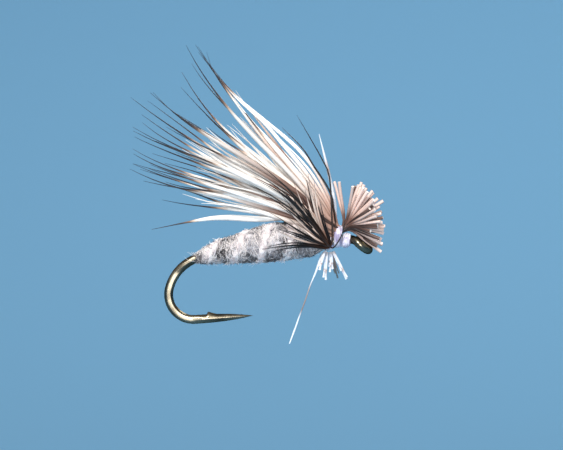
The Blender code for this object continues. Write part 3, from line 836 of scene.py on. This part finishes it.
WING_TIP_STOPS = (
    (0.665, (252, 244, 236)), (0.705, (214, 188, 168)), (0.740, (122, 92, 74)),
    (0.775, (50, 42, 44)), (0.86, (26, 28, 36)),
)
# Wing hair colours: the pinkish-brown root is partly the hair's own colour and partly painted shade
# between the hairs near the collar.
WING_STOPS = (
    (0.0, (128, 92, 78)),
    (1.0, (20, 24, 32)),
    (0.12, (186, 150, 134)),
    (0.26, (238, 220, 208)),
    (0.38, (255, 250, 244)),
    *WING_TIP_STOPS,
)
# For a share of the hairs: a darker brown lower half, partly dun hair and partly painted shade for the
# gaps between the hairs.
WING_DARK_STOPS = (
    (0.0, (58, 38, 32)),
    (1.0, (20, 24, 32)),
    (0.16, (92, 64, 54)),
    (0.30, (150, 116, 102)),
    (0.46, (226, 204, 190)),
    *WING_TIP_STOPS,
)
WING_POINTS = 34
WING_HAIRS = (4, 5, 4, 4, 3)
WING_HAIR_THICK = (0.10, 0.145)
WING_HAIR_PROFILE = (0.62, 0.75, 0.92, 1.0, 1.0, 0.96, 0.8, 0.48, 0.28, 0.17, 0.06)
WING_WAVES = 0.19
BROKEN_SHARE = 0.50
BROKEN_REACH = 0.64
LOCK_FLATNESS = 0.85
LOCK_PACKED = 0.08
LOCK_SPREAD = (0.14, 0.24, 0.38, 0.50, 0.54, 0.54, 0.52)
WHITE_TONE = 0.345
# Thickness, tone, reach (under 1 where the tip is broken off) and route.
CREST_HAIRS = (
    (
        0.095, WHITE_TONE, 1.0,
        (-1.20, -0.05, 0.72), (-1.55, -0.12, 2.00), (-2.32, -0.20, 3.66), (-3.16, -0.25, 4.78),
        (-3.90, -0.28, 5.50), (-5.21, -0.30, 6.60), (-6.90, -0.25, 8.10), (-8.35, -0.15, 9.90),
    ),
    (
        0.10, 0.4, 1.0,
        (-1.22, 0.05, 0.66), (-1.72, 0.0, 1.90), (-2.55, -0.08, 3.22), (-3.16, -0.12, 4.06),
        (-4.12, -0.16, 5.20), (-5.12, -0.20, 6.35), (-6.75, -0.20, 7.85), (-8.60, -0.10, 10.10),
    ),
    (
        0.085, 0.52, 1.0,
        (-1.22, 0.18, 0.60), (-1.90, 0.25, 1.75), (-3.05, 0.40, 3.45), (-4.60, 0.55, 5.10),
        (-6.30, 0.65, 7.00), (-7.75, 0.70, 9.00), (-8.20, 0.70, 10.20),
    ),
    (
        0.075, 0.61, 0.6,
        (-1.21, 0.05, 0.68), (-1.62, 0.0, 1.92), (-2.44, 0.0, 3.42), (-3.22, 0.0, 4.44),
        (-4.10, 0.0, 5.34), (-4.95, 0.0, 6.20),
    ),
    (
        0.08, 0.45, 0.6,
        (-1.22, 0.14, 0.64), (-1.80, 0.14, 1.84), (-2.78, 0.18, 3.34), (-3.84, 0.22, 4.60),
        (-5.05, 0.26, 5.85),
    ),
)
DARK_CREST_HAIR = (
    (-1.30, -0.20, 0.62), (-1.46, -0.34, 1.60), (-1.60, -0.42, 2.50), (-1.92, -0.44, 3.18),
    (-2.52, -0.44, 4.08), (-3.14, -0.44, 5.04), (-4.20, -0.42, 6.12),
)
LOWEST_HAIR = (
    (-1.18, 0.0, 0.36), (-2.10, 0.0, 0.74), (-2.90, 0.0, 1.12), (-3.67, 0.0, 1.38), (-4.40, 0.0, 1.38),
    (-5.40, 0.0, 1.30), (-7.31, 0.0, 1.36), (-8.72, 0.0, 1.20), (-11.05, 0.0, 0.74),
)
LOWEST_HAIR_THICK = 0.165
LOWEST_HAIR_PROFILE = (0.55, 0.8, 0.95, 1.0, 1.0, 1.0, 0.95, 0.7, 0.3, 0.15, 0.06)


def lock_routes(axis, count, alone):
    """Routes, radii and reaches of one tuft's hairs. The first keeps close to its middle line."""
    steps = np.arange(len(axis))
    across, over = ring_frames(axis[None])
    turns = angles_round(count) + RNG.uniform(0, 6.28)
    routes, radii, reach = [], [], []
    for i in range(count):
        lead = i == 0
        packed = 0.0 if lead and alone else LOCK_PACKED
        fanned = RNG.uniform(0.0, 0.12) if lead else RNG.uniform(0.35, 0.95)
        away = profile((packed, packed, *LOCK_SPREAD), len(axis))
        away = np.where(steps < WING_POINTS / 2, away, away * fanned + packed * (1 - fanned))
        aside = math.cos(turns[i]) * across[0] + LOCK_FLATNESS * math.sin(turns[i]) * over[0]
        broken = not lead and RNG.uniform(0, 1) < BROKEN_SHARE
        keep = 1.0 if lead else (RNG.uniform(0.62, 0.78) if broken else RNG.uniform(0.76, 1.0))
        routes.append(shortened(axis + aside * away[:, None], keep, WING_POINTS))
        reach.append(BROKEN_REACH if broken else 1.0)
        if alone:
            radii.append(LOWEST_HAIR_THICK * profile(LOWEST_HAIR_PROFILE, WING_POINTS))
        else:
            radii.append(RNG.uniform(*WING_HAIR_THICK) * profile(WING_HAIR_PROFILE, WING_POINTS))
    return np.array(routes), radii, reach


def make_wing():
    """Each tuft's own few hairs, fanning out from its middle line, and the wing's top edge."""
    reseed(WING_SEED)
    hair = hair_look(
        "wing_hair_look", WING_STOPS, tone_range=0.32, dark_stops=WING_DARK_STOPS, dark_share=0.25
    )
    white_stops = tuple((at + 0.06 if 0.5 < at < 0.9 else at, colour) for at, colour in WING_STOPS)
    white = hair_look("white_wing_hair_look", white_stops, tone_range=0.1)
    number = 0
    for row, tufts in enumerate(WING_ROWS):
        for column in range(len(tufts)):
            number += 1
            alone = (row, column) == (0, 1)
            count = 1 if alone else WING_HAIRS[row]
            steps = WING_POINTS * 2
            axis = through(LOWEST_HAIR, steps) if alone else wing_axis(row, column, steps)
            routes, radii, reach = lock_routes(axis, count, alone)
            if not alone:
                routes += wander(count, WING_POINTS, WING_WAVES, 1.15)
            tones = [WHITE_TONE] if alone else RNG.uniform(0, 1, count)
            tuft = tube_mesh(f"wing_hairs_{number:02d}", routes, radii, tones, sides=9, reach=reach)
            nodes = [f"wing_tuft_{number:02d}"] + (["wing_base", "bound_hair"] if number == 1 else [])
            finish(tuft, white if alone else hair, "flex", "wing_hair", *nodes)
    make_crest(white)


def make_crest(white):
    """White hairs along the wing's top edge, and the dark one in front of them."""
    thick, tones, reach = zip(*(hair[:3] for hair in CREST_HAIRS))
    routes = np.array([through(hair[3:], WING_POINTS) for hair in CREST_HAIRS])
    radii = np.array([each * profile(WING_HAIR_PROFILE, WING_POINTS) for each in thick])
    crest = tube_mesh("crest_hairs", routes, radii, tones, sides=9, reach=reach)
    finish(crest, white, "flex", "wing_hair")
    route = through(DARK_CREST_HAIR, WING_POINTS)
    radii = 0.05 * profile((0.9, 1.0, 1.0, 0.9, 0.6, 0.15), WING_POINTS)
    edge = tube_mesh("dark_crest_hair", route[None], radii[None], [0.5], sides=7)
    finish(edge, dark_hair_look(), "flex", "wing_hair")


# Each butt hair darkens towards its root: painted shade inside the fan.
BUTT_STOPS = (
    (0.0, (66, 44, 36)), (1.0, (242, 214, 202)), (0.32, (122, 88, 76)),
    (0.56, (226, 192, 178)),
)
# The share of hairs, by tone, that take the near-black run: painted shade for the gaps between the hairs.
# These are also cut a little shorter.
SHADED_BUTT_SHARE = 0.36
SHADED_BUTT_CUT = 0.10
FAN_TOP = 76.0
FAN_BOTTOM = -34.0
UPRIGHT_FROM = 90.0
BUTT_POINTS = 12
BUTT_THICK = (0.072, 0.090)
BUTT_PROFILE = (0.55, 0.7, 0.9, 1.0, 1.05, 1.05)
BUTT_CUT_COLOUR = (246, 228, 216)
# The near-black run of these hairs is painted shade.
BUTT_SHADE_STOPS = (
    (0.0, (44, 30, 26)), (1.0, (118, 90, 80)), (0.6, (60, 42, 37)),
)


def butt_routes(rise, side, length):
    """Routes, radii and tones of the hairs round one CAD butt, within the fan's limits."""
    upright = rise > UPRIGHT_FROM
    spread = 4.0 if upright else 11.0
    routes, radii, tones = [], [], []
    for step in (-0.5, 0.4) if upright else (-1.0, -0.6, -0.2, 0.2, 0.6, 1.0):
        room = FAN_TOP - rise if step > 0 else rise - FAN_BOTTOM
        swing = spread if rise > FAN_TOP else min(spread, room)
        up = math.radians(rise + swing * step + RNG.normal(0, 1.6))
        over = math.radians(side + RNG.normal(0, 8.0))
        along = np.array((math.cos(up) * math.cos(over), math.sin(over), math.sin(up) * math.cos(over)))
        # Hairs under the share are painted shade; upright butts get none.
        tone = RNG.uniform(SHADED_BUTT_SHARE if upright else 0.0, 1.0)
        trim = RNG.uniform(0.97, 1.02) - (SHADED_BUTT_CUT if tone < SHADED_BUTT_SHARE else 0.0)
        root = np.array((-1.10, 0.30 * along[1], 0.66 + 0.16 * along[2]))
        knee = BUTT_CENTRE + along * 0.36
        middle = BUTT_CENTRE + along * length * 0.6
        end = BUTT_CENTRE + along * length * trim
        routes.append(through([root, knee, middle, end], BUTT_POINTS))
        radii.append(RNG.uniform(*BUTT_THICK) * profile(BUTT_PROFILE, BUTT_POINTS))
        tones.append(tone)
    return np.array(routes), radii, tones


def make_butts():
    """Trimmed butts: a few hairs round each CAD butt, fanned out to the same round trim."""
    reseed(BUTT_SEED)
    dark = {"dark_stops": BUTT_SHADE_STOPS, "dark_share": SHADED_BUTT_SHARE}
    hair = hair_look("butt_hair_look", BUTT_STOPS, 0.45, cut=BUTT_CUT_COLOUR, **dark)
    for number, place in enumerate(HEAD_BUTTS, 1):
        routes, radii, tones = butt_routes(*place)
        routes = routes + wander(len(routes), BUTT_POINTS, 0.05, 0.6)
        butt = tube_mesh(f"head_butt_hairs_{number:02d}", routes, radii, tones, sides=9)
        nodes = [f"head_butt_{number:02d}"] + (["butt_base"] if number == 1 else [])
        finish(butt, hair, "root", "butt_hair", *nodes)


def strands_near(route, count, points, spread, thick, thin=0.12):
    """The given route and others near it that share its root."""
    routes, radii = [], []
    for i in range(count):
        aside = np.zeros(3) if i == 0 else RNG.normal(0, spread, 3)
        moved = [np.array(p) + aside * share for p, share in zip(route, np.linspace(0.15, 1, len(route)))]
        keep = 1.0 if i == 0 else RNG.uniform(0.6, 0.95)
        routes.append(shortened(through(moved, points), keep, points))
        radii.append(thick * RNG.uniform(0.8, 1.1) * profile((0.9, 1.0, 0.97, 0.85, 0.58, thin), points))
    return np.array(routes), np.array(radii)


LEG_POINTS = 22
SINGLE_LEGS = (("right", 8), ("right", 9))
TAN_STOPS = (
    (0.0, (84, 54, 38)), (1.0, (92, 66, 54)), (0.20, (146, 108, 90)),
    (0.7, (238, 216, 202)),
)
SWEEP_ROOT = np.array((-1.70, -0.38, -0.14))
SWEEP_PROFILE = (0.9, 1.0, 0.95, 0.75, 0.45, 0.12)


def make_legs():
    """The dark leg hairs on both sides, three strands each but for two single ones."""
    reseed(LEG_SEED)
    dark = dark_hair_look()
    for side, legs in (("right", RIGHT_LEGS), ("left", LEFT_LEGS)):
        for number, route in enumerate(legs, 1):
            count = 1 if (side, number) in SINGLE_LEGS else 3
            root = np.array((-1.70, math.copysign(0.36, route[0][1]), -0.12))
            thick = 0.050 if number <= 2 else 0.046
            routes, radii = strands_near([root, *route], count, LEG_POINTS, 0.13, thick)
            routes += wander(count, LEG_POINTS, 0.05, 0.8)
            tones = RNG.uniform(0, 1, count)
            leg = tube_mesh(f"{side}_leg_hairs_{number:02d}", routes, radii, tones, sides=7)
            finish(leg, dark, "root", "dark_hair", f"{side}_leg_{number:02d}")
    tan = hair_look("tan_hair_look", TAN_STOPS, 0.36)
    make_sweep("dark_sweep_hairs", 8, dark, (104.0, 160.0), 4.0, 0.056)
    make_sweep("pale_sweep_hairs", 17, tan, (100.0, 162.0), 4.2, 0.070)


def make_sweep(name, count, look, fan, longest, thick):
    """Hairs that fan out over the thorax's near side, between two angles up from the front."""
    low, high = fan
    routes, radii = [], []
    for i in range(count):
        rise = math.radians(low + (high - low) * (i + RNG.uniform(0, 1)) / count)
        length = longest * RNG.uniform(0.5, 1.0)
        side = -RNG.uniform(0.62, 0.95)
        middle = SWEEP_ROOT + 0.45 * length * np.array((math.cos(rise + 0.08), 0, math.sin(rise + 0.08)))
        end = SWEEP_ROOT + length * np.array((math.cos(rise), 0, math.sin(rise)))
        middle[1], end[1] = side - 0.10, side - 0.16 * length
        routes.append(through([SWEEP_ROOT, middle, end], LEG_POINTS))
        radii.append(thick * RNG.uniform(0.7, 1.1) * profile(SWEEP_PROFILE, LEG_POINTS))
    routes = np.array(routes) + wander(count, LEG_POINTS, 0.06, 0.9)
    sweep = tube_mesh(name, routes, radii, RNG.uniform(0, 1, count), sides=7)
    finish(sweep, look, "root", "dark_hair")


TAG_STOPS = (
    (0.0, (214, 216, 226)), (1.0, (236, 244, 252)), (0.34, (230, 236, 244)),
    (0.46, (168, 150, 144)), (0.66, (138, 124, 122)), (0.76, (226, 234, 244)),
)


PALE_STOPS = (
    (0.0, (206, 194, 192)), (1.0, (240, 246, 252)), (0.2, (232, 234, 242)),
    (0.55, (236, 242, 250)), (0.66, (196, 172, 162)), (0.78, (226, 226, 234)),
)
GREY_STOPS = ((0.0, (150, 132, 122)), (1.0, (78, 88, 90)), (0.4, (112, 104, 100)))
STUB_POINTS = 14
SINGLE_POINTS = 40
TAG_RADII = (0.10, 0.125, 0.10, 0.065, 0.055, 0.06, 0.06, 0.08, 0.085, 0.05)


def make_ends():
    """The trimmed ends below the thorax, the long tag and the upright hair."""
    reseed(END_SEED)
    pale = hair_look("pale_hair_look", PALE_STOPS, 0.35, cut=(240, 240, 246))
    for number, route in enumerate(STUBS, 1):
        routes, radii = strands_near(route, 3, STUB_POINTS, 0.08, 0.082, 0.9)
        tones = RNG.uniform(0, 1, 3)
        ends = tube_mesh(f"stub_hairs_{number:02d}", routes, radii, tones, sides=7)
        finish(ends, pale, "root", "pale_fibre", f"stub_{number:02d}")
    grey = hair_look("grey_hair_look", GREY_STOPS, 0.5)
    routes, radii = strands_near(GREY_STUB, 4, STUB_POINTS, 0.12, 0.06, 0.7)
    ends = tube_mesh("grey_stub_hairs", routes, radii, RNG.uniform(0, 1, 4), sides=7)
    finish(ends, grey, "root", "pale_fibre")
    waxed = hair_look("tag_look", TAG_STOPS, 0.35)
    tag = through([(-1.85, -0.05, -0.36), *TAG], SINGLE_POINTS)
    radii = profile(TAG_RADII, SINGLE_POINTS)
    piece = tube_mesh("trailing_tag", tag[None], radii[None], [0.8], sides=9, squash=0.6)
    finish(piece, waxed, "root", "pale_fibre", "hair_tag")
    spike = through([(-1.22, 0.04, 0.75), *SPIKE], SINGLE_POINTS)
    radii = 0.09 * profile((0.7, 0.9, 1.0, 0.9, 0.6, 0.15), SINGLE_POINTS)
    piece = tube_mesh("upright_white_hair", spike[None], radii[None], [0.9], sides=9)
    finish(piece, pale, "root", "wing_hair", "upright_hair")


# -- stage


FLOOR_Z = -42.0
FLOOR_RADIUS = 90.0
WALL_CURVE = 112.0
WALL_STEPS = 24
SWEEP_SIDES = 128
PAPER = (95, 140, 170)
FLY_MIDDLE = (-4.5, 0.0, 1.5)
CAMERA_PLACE = (-4.22, -82.4, 1.0)
CAMERA_LENS = 100.0
SENSOR_WIDTH = 36.0
WORLD_COLOUR = (1.0, 0.98, 0.95, 1.0)
WORLD_STRENGTH = 0.45
# Name, kind, place, power, size (a sun's is an angle in degrees) and colour.
LIGHTS = (
    ("key_sun", "SUN", (-45.0, -120.0, 90.0), 3.1, 8.0, (1.0, 0.985, 0.96)),
    ("back_sun", "SUN", (70.0, 120.0, 120.0), 1.6, 20.0, (1.0, 1.0, 1.0)),
    ("front_softbox", "AREA", (-8.0, -150.0, 12.0), 0.12, 34.0, (1.0, 1.0, 1.0)),
)


def make_stage():
    """A pale round floor well below the fly, sweeping up into a low wall all round."""
    rings = [(FLOOR_RADIUS, FLOOR_Z)]
    for i in range(1, WALL_STEPS + 1):
        angle = math.pi / 2 * i / WALL_STEPS
        radius = FLOOR_RADIUS + WALL_CURVE * math.sin(angle)
        rings.append((radius, FLOOR_Z + WALL_CURVE * (1 - math.cos(angle))))
    turn = angles_round(SWEEP_SIDES)
    places = [(r * math.cos(a) * MM, r * math.sin(a) * MM, z * MM) for r, z in rings for a in turn]
    faces = [tuple(range(SWEEP_SIDES))]
    for inner in range(0, (len(rings) - 1) * SWEEP_SIDES, SWEEP_SIDES):
        outer = inner + SWEEP_SIDES
        for j in range(SWEEP_SIDES):
            k = (j + 1) % SWEEP_SIDES
            faces.append((inner + j, outer + j, outer + k, inner + k))
    mesh = bpy.data.meshes.new("studio_sweep")
    mesh.from_pydata(places, [], faces)
    smooth(mesh)
    sweep = add_object("studio_sweep", mesh)
    mesh.materials.append(Look("pale_blue_paper", 0.95, Base_Color=rgb(*PAPER)).material)


def add_light(name, kind, place, power, size, colour):
    """A light aimed at the middle of the fly, which the camera doesn't see."""
    light = bpy.data.lights.new(name, kind)
    light.energy = power
    light.color = colour
    if kind == "SUN":
        light.angle = math.radians(size)
    else:
        light.size = size * MM
    lamp = add_object(name, light)
    lamp.location = Vector(place) * MM
    aim = Vector(FLY_MIDDLE) * MM - lamp.location
    lamp.rotation_mode = "QUATERNION"
    lamp.rotation_quaternion = aim.to_track_quat("-Z", "Y")
    lamp.visible_camera = False


def make_camera_and_lights():
    """A level camera at the fly's right side, two soft suns, a softbox and a dim sky."""
    camera = bpy.data.cameras.new("camera")
    camera.lens = CAMERA_LENS
    camera.sensor_width = SENSOR_WIDTH
    camera.clip_start = 0.001
    camera.clip_end = 10.0
    holder = add_object("camera", camera)
    holder.location = Vector(CAMERA_PLACE) * MM
    holder.rotation_euler = (math.pi / 2, 0.0, 0.0)
    bpy.context.scene.camera = holder
    for light in LIGHTS:
        add_light(*light)
    world = bpy.data.worlds.new("studio")
    world.use_nodes = True
    sky = world.node_tree.nodes["Background"]
    sky.inputs["Color"].default_value = WORLD_COLOUR
    sky.inputs["Strength"].default_value = WORLD_STRENGTH
    bpy.context.scene.world = world
    bpy.context.scene.view_settings.view_transform = "Standard"


make_camera_and_lights()
make_stage()
make_hook()
make_body()
make_rib()
make_fibres()
make_threads()
make_wing()
make_butts()
make_legs()
make_ends()
